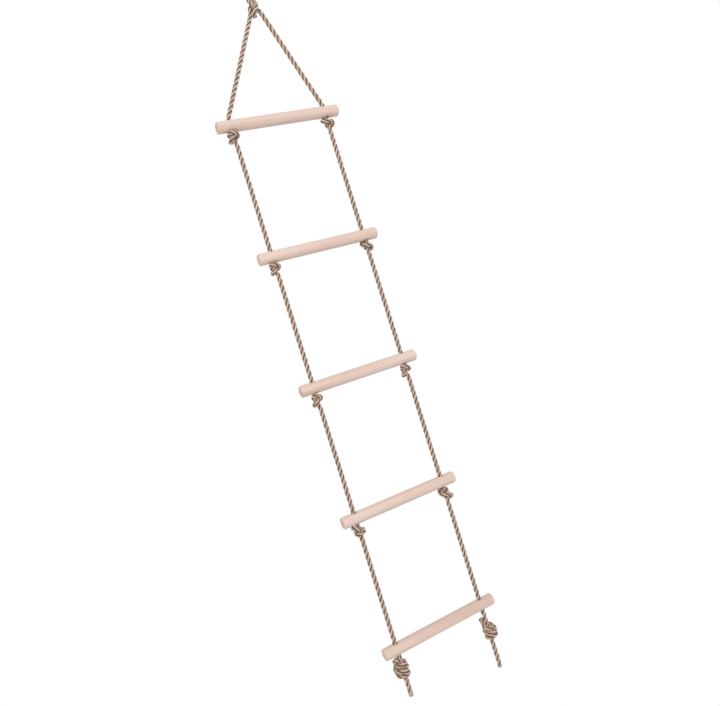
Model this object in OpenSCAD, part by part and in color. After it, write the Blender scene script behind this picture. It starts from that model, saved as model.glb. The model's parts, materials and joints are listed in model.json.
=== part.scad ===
// Escape rope ladder: a hanging loop and knot, two rope legs, and five round wooden rungs that rest on
// knots in two side ropes. It hangs straight down. Millimetres, +Z up, +X along the rungs.
// The origin is the point where a hook bears on the inside of the hanging loop.

/* [Rungs] */
// length of each wooden rung
rung_length = 292; // [250:2:450]
// diameter of each wooden rung
rung_d = 26.5; // [22:0.5:36]
// radius of the rounded edge around each rung end
rung_edge = 3; // [1:0.5:6]
// height from one rung to the next
rung_pitch = 300; // [250:10:350]
// distance between the two rope holes of a rung
hole_spacing = 228; // [190:2:300]
// diameter of the rope holes
hole_d = 13; // [12:0.5:16]

/* [Rope] */
// diameter of the three-strand rope
rope_d = 11; // [9:0.5:12]

/* [Hanging loop and top knot] */
// height from the bearing point of the loop down to the swing point over the top knot
loop_drop = 88; // [70:1:140]
// radius of the loop's crown at the middle of the rope
crown_r = 17; // [12:1:30]
// widest diameter of the top knot
top_knot_d = 28; // [24:1:34]
// height of the wide upper part of the top knot
top_knot_wide_h = 17; // [15:1:30]
// height of the top knot with the rope end that sticks out under it
top_knot_h = 36; // [34:1:48]
// height from the bearing point down to the middle of the first rung
first_rung_drop = 370; // [300:5:500]
// sideways distance from the hanging point to the middle of the rungs
hang_offset = 18; // [0:1:18]

/* [Knots under the rungs] */
// widest diameter of the knots under the first four rungs
step_knot_d = 32; // [28:1:40]
// height from the top of such a knot to the point where the rope below it bends
neck_drop = 45; // [36:1:50]
// widest diameter of the two bottom knots
end_knot_d = 38; // [32:1:48]
// height of the two bottom knots
end_knot_h = 52; // [48:1:64]
// distance from the middle of the last rung down to the top of the right bottom knot
right_knot_drop = 34; // [16:1:50]

/* [Tails] */
// length of the left tail under its knot
left_tail = 41; // [20:1:120]
// length of the right tail under its knot
right_tail = 67; // [20:1:120]

/* [Hidden] */
$fn = 48;
rope_r = rope_d / 2;
rung_r = rung_d / 2;
// clearance between a rung and the knots it rests on
seat_gap = 0.3;
// clearance between a knot and the round end of a rope that bends beside it
bend_gap = 0.5;
// radius of the round joint where two stretches of one rope meet
joint_r = rope_r + 0.15;
// half the distance between two ropes that lie side by side
pair_x = rope_r + 0.3;
// half the distance between the two legs where they bend beside the rope end of the top knot
leg_x = rope_d + 0.5;
left_x = -hang_offset - hole_spacing / 2;
right_x = -hang_offset + hole_spacing / 2;
// the loop's crown, and the angle of its two strands from the vertical
crown_z = rope_r - crown_r;
strand_z = 1 - loop_drop;
strand_run = crown_z - strand_z;
strand_span = sqrt(pair_x * pair_x + strand_run * strand_run);
strand_angle = asin(crown_r / strand_span) - atan2(pair_x, strand_run);
strand_length = sqrt(strand_span * strand_span - crown_r * crown_r);
// the top knot hangs under the loop, and the legs bend under its wide part
top_knot_z = -loop_drop - 8;
legs_z = top_knot_z - top_knot_wide_h - rope_r - bend_gap;
// the legs bend upright over the first rung
bend_z = -first_rung_drop + rung_r + 4;
// the tails bend under the bottom knots
left_end_z = rung_z(5) - rung_r - seat_gap;
right_end_z = rung_z(5) - right_knot_drop;

function rung_z(i) = -first_rung_drop - (i - 1) * rung_pitch;
function seat_z(i) = rung_z(i) - rung_r - seat_gap;
function neck_z(i) = seat_z(i) - neck_drop;
function side_x(side) = side < 0 ? left_x : right_x;

wood = [0.87, 0.76, 0.66];
hemp = [0.62, 0.52, 0.41];

// half the outline of a straight rope up from a round end at the origin to a flat end at height len
module rope_profile(len) {
  intersection() {
    union() {
      circle(r = rope_r);
      square([rope_r, len]);
    }
    translate([0, -rope_r]) square([rope_r, len + rope_r]);
  }
}

module rope(len) {
  rotate_extrude() rope_profile(len);
}

// rope turns stacked round a knot of diameter d, the first at depth top, as a profile for rotate_extrude
module turns(d, count, top, step) {
  for (i = [0 : count - 1])
    translate([d / 2 - rope_r, -top - i * step]) circle(r = rope_r);
}

// the crown is part of a ring; each of its ends and the strand below it end inside a round joint
module hanging_loop() {
  trim = 0.6;
  sweep = 180 + 2 * strand_angle - 2 * trim * 180 / PI / crown_r;
  color(hemp) {
    translate([0, 0, crown_z]) rotate([90, 90 - sweep / 2, 0])
      rotate_extrude(angle = sweep)
        translate([crown_r, 0]) circle(r = rope_r);
    for (side = [-1, 1])
      translate([side * pair_x, 0, strand_z]) rotate([0, side * strand_angle, 0]) {
        rope(strand_length - trim);
        translate([0, 0, strand_length]) sphere(r = joint_r);
      }
  }
}

// two rope turns round a core, and the rope end that sticks out of it between the legs
module top_knot() {
  core_r = top_knot_d / 2 - rope_r + 1.5;
  end_z = rope_r - top_knot_h;
  color(hemp) translate([0, 0, top_knot_z])
    rotate_extrude()
      union() {
        translate([0, -top_knot_wide_h]) square([core_r, top_knot_wide_h]);
        turns(top_knot_d, 2, rope_r, top_knot_wide_h - rope_d);
        translate([0, end_z]) rope_profile(-end_z - 1);
      }
}

// one leg: from beside the top knot down to its bend, then upright through the first rung to its knot
module leg(side) {
  reach = side_x(side) - side * leg_x;
  rise = legs_z - bend_z;
  color(hemp) {
    translate([side * leg_x, 0, legs_z]) rotate([0, 180 - atan2(reach, rise), 0])
      rope(sqrt(reach * reach + rise * rise));
    translate([side_x(side), 0, bend_z]) sphere(r = joint_r);
    translate([side_x(side), 0, seat_z(1)]) cylinder(d = rope_d, h = bend_z - seat_z(1));
  }
}

module rung(i) {
  color(wood) translate([-hang_offset, 0, rung_z(i)])
    difference() {
      rotate([0, 90, 0]) translate([0, 0, -rung_length / 2])
        rotate_extrude()
          union() {
            square([rung_r - rung_edge, rung_length]);
            translate([0, rung_edge]) square([rung_r, rung_length - 2 * rung_edge]);
            translate([rung_r - rung_edge, rung_edge]) circle(r = rung_edge);
            translate([rung_r - rung_edge, rung_length - rung_edge]) circle(r = rung_edge);
          }
      for (side = [-1, 1])
        translate([side * hole_spacing / 2, 0, -rung_r - 1]) cylinder(d = hole_d, h = rung_d + 2);
    }
}

// two rope turns round a core that ends in a blunt tip, clear of the rope that bends below it
module step_knot(side, i) {
  core_r = step_knot_d / 2 - rope_r + 1.2;
  color(hemp) translate([side_x(side), 0, seat_z(i)])
    rotate_extrude()
      union() {
        polygon([[0, 0], [0, 7.5 - neck_drop], [1, 7.5 - neck_drop], [core_r, -20], [core_r, -4], [9, 0]]);
        turns(step_knot_d, 2, rope_r + 0.8, 10);
      }
}

// a side rope, from its bend under the knots of rung i - 1 to the top of the knot under rung i
module side_rope(side, i, end_z) {
  color(hemp) translate([side_x(side), 0, neck_z(i - 1)]) rotate([180, 0, 0]) rope(neck_z(i - 1) - end_z);
}

// a narrow throat over three rope turns
module end_knot(side, top_z) {
  core_r = end_knot_d / 2 - rope_r + 1.5;
  color(hemp) translate([side_x(side), 0, top_z])
    rotate_extrude()
      union() {
        polygon([[0, 0], [0, -end_knot_h], [10, -end_knot_h], [core_r, 4 - end_knot_h], [core_r, -17], [8, -8], [8, 0]]);
        turns(end_knot_d, 3, end_knot_h - rope_r - 21, 10);
      }
}

module tail(side, knot_z, len) {
  drop = rope_r + bend_gap;
  color(hemp) translate([side_x(side), 0, knot_z - end_knot_h - drop]) rotate([180, 0, 0]) rope(len - drop);
}

module leg_left() { leg(-1); }
module leg_right() { leg(1); }
module rung_1() { rung(1); }
module rung_2() { rung(2); }
module rung_3() { rung(3); }
module rung_4() { rung(4); }
module rung_5() { rung(5); }
module knot_left_1() { step_knot(-1, 1); }
module knot_left_2() { step_knot(-1, 2); }
module knot_left_3() { step_knot(-1, 3); }
module knot_left_4() { step_knot(-1, 4); }
module knot_left_5() { end_knot(-1, left_end_z); }
module knot_right_1() { step_knot(1, 1); }
module knot_right_2() { step_knot(1, 2); }
module knot_right_3() { step_knot(1, 3); }
module knot_right_4() { step_knot(1, 4); }
module knot_right_5() { end_knot(1, right_end_z); }
module rope_left_2() { side_rope(-1, 2, seat_z(2)); }
module rope_left_3() { side_rope(-1, 3, seat_z(3)); }
module rope_left_4() { side_rope(-1, 4, seat_z(4)); }
module rope_left_5() { side_rope(-1, 5, left_end_z); }
module rope_right_2() { side_rope(1, 2, seat_z(2)); }
module rope_right_3() { side_rope(1, 3, seat_z(3)); }
module rope_right_4() { side_rope(1, 4, seat_z(4)); }
module rope_right_5() { side_rope(1, 5, right_end_z); }
module tail_left() { tail(-1, left_end_z, left_tail); }
module tail_right() { tail(1, right_end_z, right_tail); }

hanging_loop();
top_knot();
leg_left();
leg_right();
rung_1();
rung_2();
rung_3();
rung_4();
rung_5();
knot_left_1();
knot_left_2();
knot_left_3();
knot_left_4();
knot_left_5();
knot_right_1();
knot_right_2();
knot_right_3();
knot_right_4();
knot_right_5();
rope_left_2();
rope_left_3();
rope_left_4();
rope_left_5();
rope_right_2();
rope_right_3();
rope_right_4();
rope_right_5();
tail_left();
tail_right();
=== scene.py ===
import json
import math

import bpy
import numpy as np
from mathutils import Euler, Matrix, Vector


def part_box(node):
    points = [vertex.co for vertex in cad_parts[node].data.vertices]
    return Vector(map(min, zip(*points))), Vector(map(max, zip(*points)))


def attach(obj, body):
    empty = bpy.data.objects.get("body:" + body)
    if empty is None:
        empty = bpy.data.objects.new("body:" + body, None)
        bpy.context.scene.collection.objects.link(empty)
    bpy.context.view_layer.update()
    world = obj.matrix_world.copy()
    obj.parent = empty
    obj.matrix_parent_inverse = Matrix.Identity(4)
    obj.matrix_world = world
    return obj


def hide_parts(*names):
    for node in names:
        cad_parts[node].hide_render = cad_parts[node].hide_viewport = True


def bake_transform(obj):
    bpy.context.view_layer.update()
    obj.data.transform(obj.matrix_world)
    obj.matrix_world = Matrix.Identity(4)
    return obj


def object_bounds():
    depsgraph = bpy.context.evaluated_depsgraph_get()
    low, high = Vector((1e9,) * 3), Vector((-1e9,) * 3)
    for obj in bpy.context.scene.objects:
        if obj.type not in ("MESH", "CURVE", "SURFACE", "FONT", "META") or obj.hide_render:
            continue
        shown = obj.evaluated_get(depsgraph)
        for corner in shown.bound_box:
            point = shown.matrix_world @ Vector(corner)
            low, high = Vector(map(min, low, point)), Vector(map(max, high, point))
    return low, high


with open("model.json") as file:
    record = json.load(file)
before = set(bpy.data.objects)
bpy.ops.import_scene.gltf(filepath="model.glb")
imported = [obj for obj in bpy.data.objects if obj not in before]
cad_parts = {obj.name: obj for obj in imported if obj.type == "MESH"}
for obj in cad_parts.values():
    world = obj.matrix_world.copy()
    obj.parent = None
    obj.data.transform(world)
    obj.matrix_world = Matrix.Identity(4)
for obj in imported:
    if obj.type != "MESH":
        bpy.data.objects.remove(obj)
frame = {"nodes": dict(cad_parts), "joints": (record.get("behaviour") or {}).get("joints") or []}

CAD_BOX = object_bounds()
MM = 0.001

# ---------------------------------------------------------------- sizes of the rope, in metres
ROPE_D = 11.0 * MM
SQUEEZED_D = 10.2 * MM      # rope pulled tight in a knot
LAY = 42.0 * MM             # length in which a strand goes once round the rope
RING = 1.4 * MM             # distance between two rings of a strand's mesh
PER_POINT = 6               # points of the smooth line to each point of a route
SIDES = 14                  # points in a ring
STRAND_OFFSET = 0.268       # distance of a strand from the rope's middle, in rope diameters
STRAND_R = 0.236            # radius of a strand, in rope diameters
STRAND_SHIFT = 7            # shift of u from one strand to the next, so that their yarns differ
UV_SCALE = 100              # a rope's UVs give its length in centimetres
TIP_L = 9 * MM              # length of the left tail's fused end
RUNGS = 5

# sizes within a knot, in rope diameters
LINK = 0.3                  # distance between two points of a knot being tightened
WATCHED = 1.7               # distance within which points are watched for touching
BESIDE = 1.15               # distance within which rope lies beside other rope
BESIDE_RUN = 2.5            # least rope between two points that lie beside each other
ENTRY_RUN = 1.6             # rope at the entry that isn't pushed up against the rung
ENTRY_WIDTH = 0.75          # distance from the entry's axis within which rope isn't either

STEP = LINK * SQUEEZED_D    # distance between two points of a rope's route, in metres

# ---------------------------------------------------------------- places taken from the CAD parts
rung_z = {i: (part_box(f"rung_{i}")[0].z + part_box(f"rung_{i}")[1].z) / 2 for i in range(1, RUNGS + 1)}
rung_r = (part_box("rung_1")[1].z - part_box("rung_1")[0].z) / 2
side_x = {s: (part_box(f"knot_{s}_1")[0].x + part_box(f"knot_{s}_1")[1].x) / 2 for s in ("left", "right")}
anchor = {j["name"]: j["pos_m"] for j in frame["joints"] if "pos_m" in j}


# ---------------------------------------------------------------- camera
VIEW_AZIMUTH = -22.97       # degrees by which the camera looks past the ladder's own front
VIEW_TILT = 89.85           # degrees from straight down
VIEW_ROLL = -17.61          # degrees by which the picture is turned
VIEW_PLACE = (-0.5771, -1.3562, -0.9241)
LENS = 32.5                 # focal length on a full frame, in millimetres


def make_camera():
    data = bpy.data.cameras.new("camera")
    data.sensor_fit = "HORIZONTAL"
    data.sensor_width = 36.0
    data.lens = LENS
    camera = bpy.data.objects.new("camera", data)
    turn = Euler((math.radians(VIEW_TILT), 0, math.radians(VIEW_AZIMUTH)), "XYZ").to_matrix()
    roll = Matrix.Rotation(math.radians(VIEW_ROLL), 3, "Z")
    camera.matrix_world = Matrix.Translation(VIEW_PLACE) @ (turn @ roll).to_4x4()
    bpy.context.scene.collection.objects.link(camera)
    bpy.context.scene.camera = camera


make_camera()


# ---------------------------------------------------------------- knots
def spaced(line, count):
    """A line's points again, count of them at equal distances."""
    run = np.r_[0, np.cumsum(np.linalg.norm(np.diff(line, axis=0), axis=1))]
    at = np.linspace(0, run[-1], count)
    return np.stack([np.interp(at, run, line[:, k]) for k in range(line.shape[1])], axis=1)


def tighten(line, length, steps=2500, pull=0.011, rounds=6):
    """Pulls a loose knot tight along z, in rope diameters: the rope keeps its length and its thickness."""
    line = line * (length / np.linalg.norm(np.diff(line, axis=0), axis=1).sum())
    p = spaced(line, round(length / LINK) + 1)
    p -= p.mean(0)
    count = len(p)
    order = np.arange(count)
    all_one, all_two = np.nonzero(order[None, :] - order[:, None] > WATCHED / LINK + 0.4)
    links = [np.arange(odd, count - 1, 2) for odd in (0, 1)]
    for step in range(steps):
        if step % 8 == 0:
            close = np.linalg.norm(p[all_two] - p[all_one], axis=1) < WATCHED
            one, two = all_one[close], all_two[close]
        up = np.sign(p[0, 2] - p[-1, 2])
        for grip, way in ((slice(0, 4), up), (slice(count - 4, count), -up)):
            p[grip, 2] += way * pull
            p[grip, :2] += 0.3 * (p[grip, :2].mean(0) - p[grip, :2])
        p[1:-1] += 0.25 * ((p[2:] + p[:-2]) / 2 - p[1:-1])
        gap = p[two] - p[one]
        near = np.sqrt((gap * gap).sum(1))
        hit = near < 1.0
        if hit.any():
            push = (0.25 * (1.0 - near[hit]) / np.maximum(near[hit], 1e-6))[:, None] * gap[hit]
            shift, touches = np.zeros_like(p), np.zeros(count)
            np.add.at(shift, two[hit], push)
            np.add.at(shift, one[hit], -push)
            np.add.at(touches, two[hit], 1)
            np.add.at(touches, one[hit], 1)
            p += shift / np.maximum(1, touches * 0.5)[:, None]
        for _ in range(rounds):
            for i in links:
                v = p[i + 1] - p[i]
                long = np.linalg.norm(v, axis=1, keepdims=True)
                fix = 0.5 * (long - LINK) / long * v
                p[i] += fix
                p[i + 1] -= fix
    return p if p[0, 2] > p[-1, 2] else p[::-1]


def loose_overhand():
    t = np.linspace(-2.35, 2.35, 4000)
    return np.stack([t**3 - 3 * t, t**4 - 4 * t**2, 0.3 * (t**5 - 10 * t)], axis=1)


def loose_barrel(turns, wide=2.4):
    """Down through the middle, upwards round itself in some turns, then in at the top and down again."""
    half = 0.6 * turns
    angle = np.linspace(0.3, 2 * np.pi * turns + 0.3, 60 * turns)
    rise = np.linspace(-half - 0.8, half + 0.4, len(angle))
    coil = np.stack([wide * np.cos(angle), wide * np.sin(angle), rise], axis=1)
    down = [(0.5, 0, 8), (0.5, 0, 4), (0.5, 0, 0), (0.5, 0, -half - 1.2), (1.2, 0.3, -half - 1.8)]
    out = [(1.0, -0.2, half + 1.4), (-0.6, -0.4, half + 1.0), (-0.6, 0, 0), (-0.6, 0, -4), (-0.6, 0, -8)]
    line = spaced(np.vstack([down, coil, out]), 400)
    for _ in range(30):
        line[1:-1] = 0.5 * line[1:-1] + 0.25 * (line[2:] + line[:-2])
    return line


def knot_body(line):
    """First and last point of a tightened line that are in the knot itself, with other rope beside them."""
    order = np.arange(len(line))
    far = np.abs(order[:, None] - order[None, :]) > BESIDE_RUN / LINK
    near = np.linalg.norm(line[:, None] - line[None, :], axis=2) < BESIDE
    inside = np.nonzero((far & near).any(1))[0]
    return inside[0], inside[-1]


def turned(degrees):
    """What rows of points are multiplied by to turn them about z."""
    a = math.radians(degrees)
    return np.array([[math.cos(a), math.sin(a), 0], [-math.sin(a), math.cos(a), 0], [0, 0, 1]])


def set_knot(line, x, rung_axis, azimuth, mirrored=False, slim=1.0, stretch=1.0, drop=0.0):
    """A tightened knot turned and pushed up against a round rung: its points from where the rope enters it to
    where it leaves it. The entering rope is on the vertical line at x, which goes through the rung's axis."""
    first, last = knot_body(line)
    q = line * np.array([-slim if mirrored else slim, slim, stretch])
    q = q @ turned(azimuth)
    lean = (q[last, :2] - q[first, :2]) / (q[last, 2] - q[first, 2])
    q[:, :2] -= lean * np.clip(q[:, 2:] - q[first, 2], q[last, 2] - q[first, 2], 0)
    q = (q - q[first] * (1, 1, 0)) * SQUEEZED_D
    wraps = q[first + round(ENTRY_RUN / LINK) : last + 1]
    reach = rung_r + SQUEEZED_D / 2
    under = wraps[np.abs(wraps[:, 1]) < reach]
    room = -np.sqrt(reach**2 - under[:, 1] ** 2) - under[:, 2]
    beside = np.hypot(under[:, 0], under[:, 1]) > ENTRY_WIDTH * SQUEEZED_D
    lift = rung_axis + room[beside].min() - drop
    knot_top = wraps[:, 2].max() + lift + SQUEEZED_D / 2
    q = q + np.array([x, 0, lift])
    over = np.nonzero(q[: first + 1, 2] > knot_top)[0]
    return q[(over[-1] if len(over) else 0) : last + 2]


OVERHAND = tighten(loose_overhand(), 26)
BALL = tighten(loose_barrel(4), 60, steps=7000, pull=0.01, rounds=12)


# ---------------------------------------------------------------- the rope's route, from tail to tail
def straight(a, b, ends=(False, False)):
    """Points on a straight line, about one STEP apart; its own ends are left out unless asked for."""
    a, b = np.array(a, float), np.array(b, float)
    count = max(2, round(np.linalg.norm(b - a) / STEP) + 1)
    line = a + (b - a) * np.linspace(0, 1, count)[:, None]
    return line[(0 if ends[0] else 1) : (count if ends[1] else count - 1)]


# each knot: azimuth, mirrored, slimness across, stretch along the rope and, where it hangs lower, by how much
SETTING = {
    ("left", 1): (OVERHAND, -68, False, 0.95, 1.1),
    ("left", 2): (OVERHAND, -68, False, 0.92, 1.15),
    ("left", 3): (OVERHAND, -60, False, 0.85, 1.35),
    ("left", 4): (OVERHAND, -53, True, 1.0, 1.0),
    ("left", 5): (BALL, 155, True, 0.92, 0.99, 13.5 * MM),
    ("right", 1): (OVERHAND, 157, False, 0.95, 1.05),
    ("right", 2): (OVERHAND, 150, False, 0.95, 1.15),
    ("right", 3): (OVERHAND, -75, False, 0.88, 1.3),
    ("right", 4): (OVERHAND, 150, False, 1.1, 1.45, 5 * MM),
    ("right", 5): (BALL, 150, False, 0.82, 0.87, 36.5 * MM),
}
LOOP_X = 5.8 * MM           # half the distance of the two ropes over and under the top knot
KNOT_IN = anchor["side_swing"][2]         # height of the hinge at the top of the top knot
LOOP_FOOT = -97 * MM        # where the loop's two ropes go into the top knot
ASIDE_FROM = 0.45           # share of the way down to its foot at which the loop starts to go aside
KNOT_ASIDE = 5              # how far the top knot stands to the right of the loop, in its own millimetres
LEG_OUT = {"left": (-8.2, -1.5, -127.5), "right": (16, 1.5, -121.5)}     # in the top knot's own millimetres
BEND_Z = rung_z[1] + rung_r + 4 * MM      # where the legs turn straight down into rung 1
HOLE_TOP = rung_r + 2 * MM  # how far over a loose rung's axis the rope is in line with its hole


def facing(points):
    """Points given in millimetres as the camera faces them, in the ladder's own frame and metres."""
    return np.array(points, float) @ turned(VIEW_AZIMUTH) * MM


def side_route(side):
    """One side rope from under the top knot down to its tail, as (node name, points) stretches."""
    x = side_x[side]
    out = []
    at = facing([LEG_OUT[side]])[0]
    name = f"leg_{side}"
    before = straight(at, (x, 0, BEND_Z))
    for i in range(1, RUNGS + 1):
        setting = SETTING[side, i]
        body = set_knot(setting[0], x, rung_z[i], *setting[1:])
        start = (x, 0, BEND_Z if i == 1 else rung_z[i] + HOLE_TOP)
        out.append((name, np.vstack([before, straight(start, body[0], (True, False))])))
        out.append((f"knot_{side}_{i}", body))
        name = f"rope_{side}_{i + 1}"
        if i < RUNGS:
            before = straight(body[-1], (x, 0, rung_z[i + 1] + HOLE_TOP))
        else:
            tip = (x, 0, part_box(f"tail_{side}")[0].z)
            out.append((f"tail_{side}", straight(body[-1], tip, (False, True))))
    return out


def top_band(side):
    """One of the two ropes of the top knot, downwards to the leg on that side."""
    if side == "left":
        front = [(10.4, 2.3, -97), (11.6, -0.5, -101.5), (13.2, -5, -107), (10.8, -9, -114.8)]
        under = [(6.2, -10, -120.3), (2.8, -8.2, -126), (1.3, -2.8, -129.5), (1.3, 3.2, -128.8)]
        back = [(1.8, 8.8, -123), (2.2, 10.5, -114.5), (1.5, 10, -108), (-1.5, 8, -104)]
        back += [(-4, 4.5, -106), (-4.4, 0.5, -112), (-5, -1.5, -119)]
        way = front + under + back
    else:
        way = [(-0.4, -2.3, -97), (0.2, -5, -101.5), (2, -7.4, -106.5), (5.2, -4.4, -111.5)]
        way += [(9, 0, -115.5), (12.3, 2, -118.7)]
    return facing(way + [LEG_OUT[side]])


def neck_bight():
    """A small bight of the right-hand end knot that stands up beside its neck, its ends in the knot."""
    leg = [(-1.5, 5, -38), (-5, 5.5, -25), (-8, 5, -13), (-9.8, 4.5, -4.5)]
    back = [(u, -v, w) for u, v, w in leg[::-1]]
    return facing(leg + [(-10.4, 0, 0)] + back) + np.array([side_x["right"], 0, rung_z[RUNGS] - 33 * MM])


def top_bight():
    """The left-hand end knot's first turn, which bulges out to the left under the rung."""
    rise = [(3, -2, -37), (1, -6.5, -28), (-2, -8, -21), (-7, -7, -18.5)]
    fall = [(-12, -5, -21), (-14, -3, -27), (-12.5, -1, -34), (-7, 0, -41)]
    return facing(rise + fall) + np.array([side_x["left"], 0, rung_z[RUNGS]])


def loop_route():
    """The hanging loop from the left strand's foot over the crown to the right strand's foot."""
    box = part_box("hanging_loop")
    r = (box[1].x - box[0].x) / 2 - ROPE_D / 2
    mid = box[1].z - ROPE_D / 2 - r
    rise = mid - KNOT_IN
    span = math.hypot(LOOP_X, rise)
    lean = math.asin(r / span) - math.atan2(LOOP_X, rise)
    angles = np.linspace(math.pi + lean, -lean, 24)
    crown = np.stack([r * np.cos(angles), 0 * angles, mid + r * np.sin(angles)], axis=1)
    swing = (-LOOP_X, 0, KNOT_IN)
    left = np.vstack([straight((-LOOP_X, 0, LOOP_FOOT), swing), straight(swing, crown[0], (True, False))])
    line = np.vstack([left, crown, (left * np.array([-1, 1, 1]))[::-1]])
    low = np.clip((line[:, 2:] / LOOP_FOOT - ASIDE_FROM) / (1 - ASIDE_FROM), 0, 1)
    return line + low * low * facing([(KNOT_ASIDE, 0, 0)])


def down_to_up(stretches):
    return [(name, points[::-1]) for name, points in stretches[::-1]]


TOP_ROUTE = [
    ("top_knot", top_band("left")[::-1]),
    ("hanging_loop", loop_route()[::-1]),
    ("top_knot", top_band("right")),
]
ROUTE = down_to_up(side_route("left")) + TOP_ROUTE + side_route("right")


def smooth_line(points):
    """A cubic B-spline near the points."""
    p = np.vstack([2 * points[0] - points[1], points, 2 * points[-1] - points[-2]])
    t = np.arange(PER_POINT)[:, None] / PER_POINT
    inner = ((3 * t**3 - 6 * t**2 + 4) / 6, (-3 * t**3 + 3 * t**2 + 3 * t + 1) / 6)
    basis = ((1 - t) ** 3 / 6, *inner, t**3 / 6)
    count = len(points) - 1
    line = sum(b[None] * p[k : k + count, None] for k, b in enumerate(basis)).reshape(-1, points.shape[1])
    return np.vstack([line, points[-1]])


class Rope:
    """A rope along a route: evenly spaced middles, their frames, and where each stretch begins and ends."""

    def __init__(self, route):
        diameter = {name: SQUEEZED_D if "knot" in name else ROPE_D for name, _ in route}
        points = np.vstack([np.c_[p, np.full(len(p), diameter[name])] for name, p in route])
        line = smooth_line(points)
        run = np.r_[0, np.cumsum(np.linalg.norm(np.diff(line[:, :3], axis=0), axis=1))]
        count = round(run[-1] / RING) + 1
        self.at = np.linspace(0, run[-1], count)
        even = np.stack([np.interp(self.at, run, line[:, k]) for k in range(4)], axis=1)
        self.middle = even[:, :3]
        window = np.hanning(15)
        window /= window.sum()
        self.thick = np.convolve(np.pad(even[:, 3], 7, mode="edge"), window, mode="valid")
        first = 0
        self.cuts = []
        for name, p in route:
            last = first + len(p)
            ends = [run[min(k * PER_POINT, len(run) - 1)] for k in (first, last)]
            self.cuts.append((name, *[int(round(e / run[-1] * (count - 1))) for e in ends]))
            first = last
        self.along = np.gradient(self.middle, axis=0)
        self.along /= np.linalg.norm(self.along, axis=1, keepdims=True)
        self.side = self._sides()
        self.other = np.cross(self.along, self.side)
        self.phase = self.at * 2 * np.pi / LAY

    def _sides(self):
        """A sideways direction at each middle that doesn't turn about the rope."""
        sides = np.zeros_like(self.middle)
        side = np.cross(self.along[0], (0.0, 1.0, 0.0))
        side /= np.linalg.norm(side)
        for i, t in enumerate(self.along):
            side = side - t * side.dot(t)
            side /= np.linalg.norm(side)
            sides[i] = side
        return sides

    def strand(self, k):
        """Middles of one of the three strands, with the directions outward and across."""
        a = (self.phase + k * 2 * np.pi / 3)[:, None]
        out = np.cos(a) * self.side + np.sin(a) * self.other
        middle = self.middle + STRAND_OFFSET * self.thick[:, None] * out
        along = np.gradient(middle, axis=0)
        along /= np.linalg.norm(along, axis=1, keepdims=True)
        out = out - along * (out * along).sum(1, keepdims=True)
        out /= np.linalg.norm(out, axis=1, keepdims=True)
        return middle, out, np.cross(along, out)


def tube(middle, out, across, radius, at, first=0):
    """Points, faces and UVs of a round tube: u is the length along it, v goes round it and is 0.5 outward."""
    rings = len(middle)
    a = np.linspace(-np.pi, np.pi, SIDES, endpoint=False)
    spokes = np.cos(a)[None, :, None] * out[:, None] + np.sin(a)[None, :, None] * across[:, None]
    points = (middle[:, None] + radius[:, None, None] * spokes).reshape(-1, 3)
    faces, uvs = [], []
    for i in range(rings - 1):
        near, far = first + i * SIDES, first + (i + 1) * SIDES
        for j in range(SIDES):
            k = (j + 1) % SIDES
            faces.append((near + j, near + k, far + k, far + j))
            lo, hi = j / SIDES, (j + 1) / SIDES
            uvs += [(at[i], lo), (at[i], hi), (at[i + 1], hi), (at[i + 1], lo)]
    for ring, row in ((0, range(SIDES - 1, -1, -1)), (rings - 1, range(SIDES))):
        faces.append(tuple(first + ring * SIDES + j for j in row))
        uvs += [(at[ring], j / SIDES) for j in row]
    return points, faces, uvs


def mesh_object(name, points, faces, uvs):
    mesh = bpy.data.meshes.new(name)
    mesh.from_pydata(points.tolist(), [], faces)
    layer = mesh.uv_layers.new(name="lay")
    layer.data.foreach_set("uv", np.array(uvs, np.float32).ravel())
    mesh.polygons.foreach_set("use_smooth", [len(f) == 4 for f in faces])
    mesh.update()
    obj = bpy.data.objects.new(name, mesh)
    bpy.context.scene.collection.objects.link(obj)
    return obj


def rope_mesh(name, spans):
    """One mesh of the three strands over one or more spans of rings of ropes."""
    points, faces, uvs = [], [], []
    for r, first, last in spans:
        for k in range(3):
            middle, out, across = r.strand(k)
            s = slice(first, last + 1)
            u = r.at[s] * UV_SCALE + STRAND_SHIFT * k
            before = sum(len(x) for x in points)
            p, f, uv = tube(middle[s], out[s], across[s], STRAND_R * r.thick[s], u, before)
            points.append(p)
            faces += f
            uvs += uv
    return mesh_object(name, np.vstack(points), faces, uvs)


rope = Rope(ROUTE)
SPANS = {}
for name, first, last in rope.cuts:
    SPANS.setdefault(name, []).append((rope, first, last))
for name, line in (("knot_left_5", top_bight()), ("knot_right_5", neck_bight())):
    bight = Rope([(name, line)])
    SPANS[name].append((bight, 0, len(bight.at) - 1))

PIECES = {name: rope_mesh(f"{name}_rope", spans) for name, spans in SPANS.items()}


def declare(name):
    """Takes the middles of a free stretch of the rope, upper end first, and does nothing more with them."""
    _, first, last = SPANS[name][0]
    line = rope.middle[first : last + 1]
    if line[0, 2] < line[-1, 2]:
        line = line[::-1]


for side in ("left", "right"):
    declare(f"leg_{side}")
    for i in range(2, RUNGS + 1):
        declare(f"rope_{side}_{i}")
declare("hanging_loop")
declare("tail_right")


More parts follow.
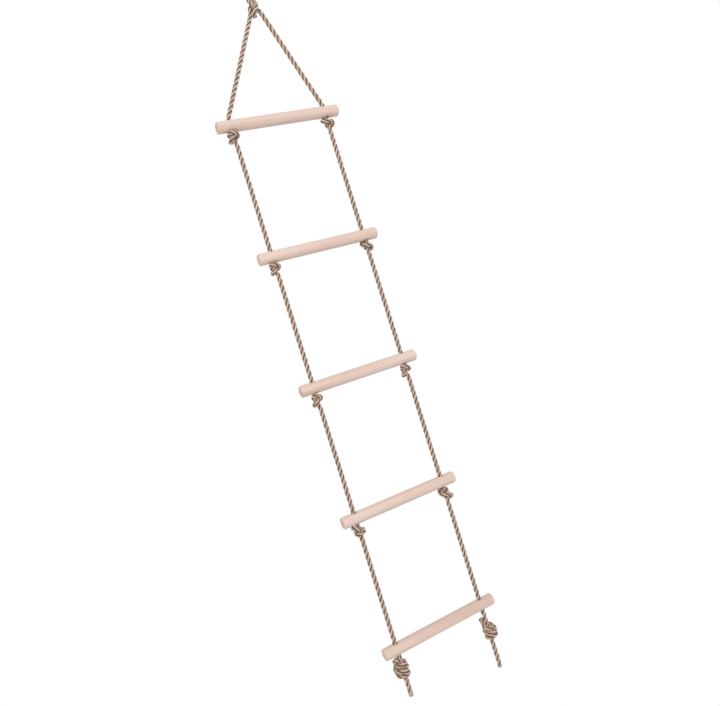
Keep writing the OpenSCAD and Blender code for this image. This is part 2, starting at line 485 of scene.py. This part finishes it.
def make_tip():
    """The left tail's fused end: a smooth sleeve round the last of the rope, narrower at its upper edge."""
    rings = round(TIP_L / RING)
    proud = 0.6 * MM
    line = np.vstack([rope.middle[0] - proud * rope.along[0], rope.middle[: rings + 1]])
    at = np.r_[0, rope.at[: len(line) - 1] + proud]
    places = (0, 0.8 * MM, 1.6 * MM, at[-1] - 1.5 * MM, at[-1])
    shape = np.interp(at, places, (0.44, 0.5, 0.51, 0.5, 0.46)) * ROPE_D
    of_ring = [0, *range(len(line) - 1)]
    points, faces, uvs = tube(line, rope.side[of_ring], rope.other[of_ring], shape, at * UV_SCALE)
    return mesh_object("tail_left_tip", points, faces, uvs)


tip = make_tip()


# ---------------------------------------------------------------- materials
def new_material(name):
    material = bpy.data.materials.new(name)
    material.use_nodes = True
    tree = material.node_tree
    tree.nodes.clear()
    shader = tree.nodes.new("ShaderNodeBsdfPrincipled")
    output = tree.nodes.new("ShaderNodeOutputMaterial")
    tree.links.new(shader.outputs[0], output.inputs["Surface"])
    return material, tree, shader


class Nodes:
    """Short ways to add nodes to a material's tree."""

    def __init__(self, tree):
        self.tree = tree

    def _put(self, socket, value):
        if isinstance(value, bpy.types.NodeSocket):
            self.tree.links.new(value, socket)
        else:
            socket.default_value = value

    def math(self, operation, *values, clamp=False):
        node = self.tree.nodes.new("ShaderNodeMath")
        node.operation = operation
        node.use_clamp = clamp
        for socket, value in zip(node.inputs, values):
            self._put(socket, value)
        return node.outputs[0]

    def combine(self, x, y, z):
        node = self.tree.nodes.new("ShaderNodeCombineXYZ")
        for socket, value in zip(node.inputs, (x, y, z)):
            self._put(socket, value)
        return node.outputs[0]

    def separate(self, vector):
        node = self.tree.nodes.new("ShaderNodeSeparateXYZ")
        self._put(node.inputs[0], vector)
        return node.outputs

    def noise(self, vector, scale, detail=2.0, rough=0.5):
        node = self.tree.nodes.new("ShaderNodeTexNoise")
        self._put(node.inputs["Vector"], vector)
        node.inputs["Scale"].default_value = scale
        node.inputs["Detail"].default_value = detail
        node.inputs["Roughness"].default_value = rough
        return node.outputs["Fac"]

    def ramp(self, value, *stops):
        node = self.tree.nodes.new("ShaderNodeValToRGB")
        self._put(node.inputs[0], value)
        while len(node.color_ramp.elements) < len(stops):
            node.color_ramp.elements.new(0.5)
        for element, (place, colour) in zip(node.color_ramp.elements, stops):
            element.position = place
            element.color = (*colour, 1)
        return node.outputs[0]

    def remap(self, value, a, b, lo=0.0, hi=1.0):
        node = self.tree.nodes.new("ShaderNodeMapRange")
        self._put(node.inputs["Value"], value)
        for key, number in (("From Min", a), ("From Max", b), ("To Min", lo), ("To Max", hi)):
            node.inputs[key].default_value = number
        return node.outputs[0]

    def mix(self, share, a, b, kind="MIX"):
        node = self.tree.nodes.new("ShaderNodeMix")
        node.data_type = "RGBA"
        node.blend_type = kind
        self._put(node.inputs[0], share)
        for socket, value in ((node.inputs[6], a), (node.inputs[7], b)):
            self._put(socket, value if isinstance(value, bpy.types.NodeSocket) else (*value, 1))
        return node.outputs[2]

    def bump(self, height, strength, distance):
        node = self.tree.nodes.new("ShaderNodeBump")
        self._put(node.inputs["Height"], height)
        node.inputs["Strength"].default_value = strength
        node.inputs["Distance"].default_value = distance
        return node.outputs[0]


YARNS = 9                   # yarns round a strand
YARN_TURN = 0.26            # how much of a turn a yarn makes round its strand in a centimetre


def rope_material():
    """Hemp-coloured rope: yarns along each strand, pale and brown fibres, and painted shade between the
    strands.
    """
    material, tree, shader = new_material("rope")
    n = Nodes(tree)
    uv = tree.nodes.new("ShaderNodeUVMap")
    uv.uv_map = "lay"
    u, v, _ = n.separate(uv.outputs[0])
    # along a yarn this stays the same
    yarn = n.math("ADD", v, n.math("MULTIPLY", u, YARN_TURN))
    place = n.combine(n.math("MULTIPLY", u, 0.55), n.math("MULTIPLY", yarn, YARNS), 0.0)
    fine = n.combine(n.math("MULTIPLY", u, 1.1), n.math("MULTIPLY", yarn, 30.0), 0.0)
    fibres = n.noise(fine, 1.0, 3.0, 0.6)
    patches = n.noise(place, 1.0, 2.0, 0.5)
    colour = n.ramp(
        patches,
        (0.30, (0.27, 0.178, 0.125)),
        (0.45, (0.48, 0.340, 0.254)),
        (0.60, (0.65, 0.491, 0.396)),
        (0.75, (0.73, 0.578, 0.486)),
    )
    colour = n.mix(n.remap(fibres, 0.35, 0.7), colour, (0.71, 0.556, 0.458), "MIX")
    # painted shade: the sides of each strand that face the next strands are darkened towards a deep brown
    outward = n.math("ABSOLUTE", n.math("MULTIPLY", n.math("SUBTRACT", v, 0.5), 2.0))
    groove_shade = n.remap(outward, 0.22, 0.48)
    colour = n.mix(groove_shade, colour, (0.13, 0.075, 0.050), "MIX")
    hue = n.noise(n.combine(n.math("MULTIPLY", u, 0.3), 0.0, 7.0), 1.0, 1.0, 0.5)
    tint = n.ramp(hue, (0.38, (1.0, 0.87, 0.86)), (0.5, (0.98, 0.95, 0.92)), (0.62, (0.90, 0.97, 0.84)))
    colour = n.mix(1.0, colour, tint, "MULTIPLY")
    tree.links.new(colour, shader.inputs["Base Color"])
    waves = n.math("SINE", n.math("MULTIPLY", yarn, 2 * math.pi * YARNS))
    height = n.math("ADD", n.math("MULTIPLY", waves, 0.5), n.math("MULTIPLY", fibres, 0.8))
    tree.links.new(n.bump(height, 0.5, 0.0004), shader.inputs["Normal"])
    shader.inputs["Roughness"].default_value = 0.72
    shader.inputs["Sheen Weight"].default_value = 0.25
    shader.inputs["Sheen Roughness"].default_value = 0.5
    return material


YEAR_RING = 2.6 * MM        # thickness of a year ring in the wood
PITH_ASIDE = 6 * MM         # greatest distance of the year rings' middle from a rung's axis, in y and in z


def wood_material(name, axis, seed):
    """Pale beech turned round: faint grain and a few short flecks along x, faint year rings on the ends."""
    material, tree, shader = new_material(name)
    n = Nodes(tree)
    coords = tree.nodes.new("ShaderNodeTexCoord")
    x, y, z = n.separate(coords.outputs["Object"])
    y = n.math("SUBTRACT", y, axis[0] + PITH_ASIDE * math.cos(seed))
    z = n.math("SUBTRACT", z, axis[1] + PITH_ASIDE * math.sin(seed * 1.7))
    x = n.math("ADD", x, seed * 0.37)

    def along(stretch, across, detail):
        scaled = (n.math("MULTIPLY", value, by) for value, by in ((x, stretch), (y, across), (z, across)))
        return n.noise(n.combine(*scaled), 1.0, detail, 0.5)

    grain, broad, flecks = along(5.0, 190.0, 3.0), along(2.5, 38.0, 2.0), along(110.0, 1400.0, 0.0)
    radius = n.math("SQRT", n.math("ADD", n.math("MULTIPLY", y, y), n.math("MULTIPLY", z, z)))
    uneven = n.math("ADD", radius, n.math("MULTIPLY", broad, 3 * MM))
    rings = n.math("SINE", n.math("MULTIPLY", uneven, 2 * math.pi / YEAR_RING))
    colour = n.ramp(
        n.math("ADD", n.math("MULTIPLY", grain, 0.35), n.math("MULTIPLY", broad, 0.65)),
        (0.34, (0.640, 0.460, 0.380)),
        (0.5, (0.706, 0.533, 0.453)),
        (0.66, (0.752, 0.596, 0.517)),
    )
    colour = n.mix(n.math("MULTIPLY", n.remap(rings, 0.3, 1.0), 0.07), colour, (0.56, 0.385, 0.30))
    colour = n.mix(n.math("MULTIPLY", n.remap(flecks, 0.64, 0.74), 0.16), colour, (0.52, 0.36, 0.28))
    tree.links.new(colour, shader.inputs["Base Color"])
    height = n.math("ADD", n.math("MULTIPLY", grain, 0.7), n.math("MULTIPLY", flecks, -0.3))
    tree.links.new(n.bump(height, 0.25, 0.0001), shader.inputs["Normal"])
    shader.inputs["Roughness"].default_value = 0.58
    return material


def tip_material():
    """Rope fibres fused together: a grey-mauve skin with fine ridges, with painted shade at the very end."""
    material, tree, shader = new_material("fused_tip")
    n = Nodes(tree)
    uv = tree.nodes.new("ShaderNodeUVMap")
    uv.uv_map = "lay"
    u, v, _ = n.separate(uv.outputs[0])
    ridge = n.math("ADD", v, n.math("MULTIPLY", u, 0.2))
    place = n.combine(n.math("MULTIPLY", u, 1.5), n.math("MULTIPLY", ridge, 14.0), 0.0)
    ridges = n.noise(place, 1.0, 3.0, 0.6)
    colour = n.ramp(ridges, (0.35, (0.33, 0.265, 0.245)), (0.65, (0.55, 0.475, 0.455)))
    # painted shade: the tip's last millimetre or two is darkened almost to black, along a ragged edge
    end_shade_edge = n.math("ADD", u, n.math("MULTIPLY", n.math("SUBTRACT", ridges, 0.5), 0.15))
    colour = n.mix(n.remap(end_shade_edge, 0.22, 0.06), colour, (0.06, 0.045, 0.040))
    tree.links.new(colour, shader.inputs["Base Color"])
    tree.links.new(n.bump(ridges, 0.4, 0.0003), shader.inputs["Normal"])
    shader.inputs["Roughness"].default_value = 0.55
    return material


def wear(obj, material):
    obj.data.materials.clear()
    obj.data.materials.append(material)


ROPE = rope_material()
for piece in PIECES.values():
    wear(piece, ROPE)
wear(tip, tip_material())
for i in range(1, RUNGS + 1):
    material = wood_material(f"wood_{i}", (0, rung_z[i]), i)
    frame["nodes"][f"rung_{i}"].data.materials[0] = material


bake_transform(PIECES["hanging_loop"])
for name in ("top_knot", "leg_left", "leg_right"):
    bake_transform(PIECES[name])
for side in ("left", "right"):
    for i in range(1, RUNGS + 1):
        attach(PIECES[f"knot_{side}_{i}"], f"step_{i}")
    for i in range(2, RUNGS + 1):
        name = f"rope_{side}_{i}"
        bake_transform(PIECES[name])
    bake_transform(PIECES[f"tail_{side}"])
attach(tip, "tail_left")
for name, piece in PIECES.items():
    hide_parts(name)


# ---------------------------------------------------------------- floor and light
FLOOR_GAP = 0.25            # from the ladder's lower end to the floor
FLOOR_REACH = 9.0           # from the middle of the floor to its edges


def make_stage():
    mesh = bpy.data.meshes.new("floor")
    z, far = CAD_BOX[0].z - FLOOR_GAP, FLOOR_REACH
    corners = [(-far, -far, z), (far, -far, z), (far, far, z), (-far, far, z)]
    mesh.from_pydata(corners, [], [(0, 1, 2, 3)])
    floor = bpy.data.objects.new("floor", mesh)
    bpy.context.scene.collection.objects.link(floor)
    material, tree, shader = new_material("floor")
    # to the camera the floor is exactly white, so that it doesn't outshine what hangs in front of it
    seen = tree.nodes.new("ShaderNodeLightPath").outputs["Is Camera Ray"]
    tree.links.new(Nodes(tree).mix(seen, (0.9, 0.9, 0.9), (0, 0, 0)), shader.inputs["Base Color"])
    shader.inputs["Roughness"].default_value = 0.9
    shader.inputs["Specular IOR Level"].default_value = 0
    shader.inputs["Emission Color"].default_value = (1, 1, 1, 1)
    tree.links.new(seen, shader.inputs["Emission Strength"])
    wear(floor, material)

    world = bpy.data.worlds.new("studio")
    bpy.context.scene.world = world
    world.use_nodes = True
    tree = world.node_tree
    tree.nodes.clear()
    output = tree.nodes.new("ShaderNodeOutputWorld")
    fill = tree.nodes.new("ShaderNodeBackground")
    white = tree.nodes.new("ShaderNodeBackground")
    choose = tree.nodes.new("ShaderNodeMixShader")
    ray = tree.nodes.new("ShaderNodeLightPath")
    fill.inputs[0].default_value = (1, 1, 1, 1)
    fill.inputs[1].default_value = 0.62
    white.inputs[0].default_value = (1, 1, 1, 1)
    white.inputs[1].default_value = 1.0
    tree.links.new(ray.outputs["Is Camera Ray"], choose.inputs[0])
    tree.links.new(fill.outputs[0], choose.inputs[1])
    tree.links.new(white.outputs[0], choose.inputs[2])
    tree.links.new(choose.outputs[0], output.inputs[0])

    lamps = (("key", (-1.5, -2.9, 1.0), 69, 2.2), ("side", (2.6, -1.2, 0.2), 18, 2.0))
    for name, place, power, size in lamps:
        data = bpy.data.lights.new(name, "AREA")
        data.energy = power
        data.size = size
        light = bpy.data.objects.new(name, data)
        light.location = place
        aim = Vector((0, 0, CAD_BOX[0].z / 2)) - light.location
        light.rotation_euler = aim.to_track_quat("-Z", "Y").to_euler()
        bpy.context.scene.collection.objects.link(light)
    bpy.context.scene.view_settings.view_transform = "Standard"


make_stage()
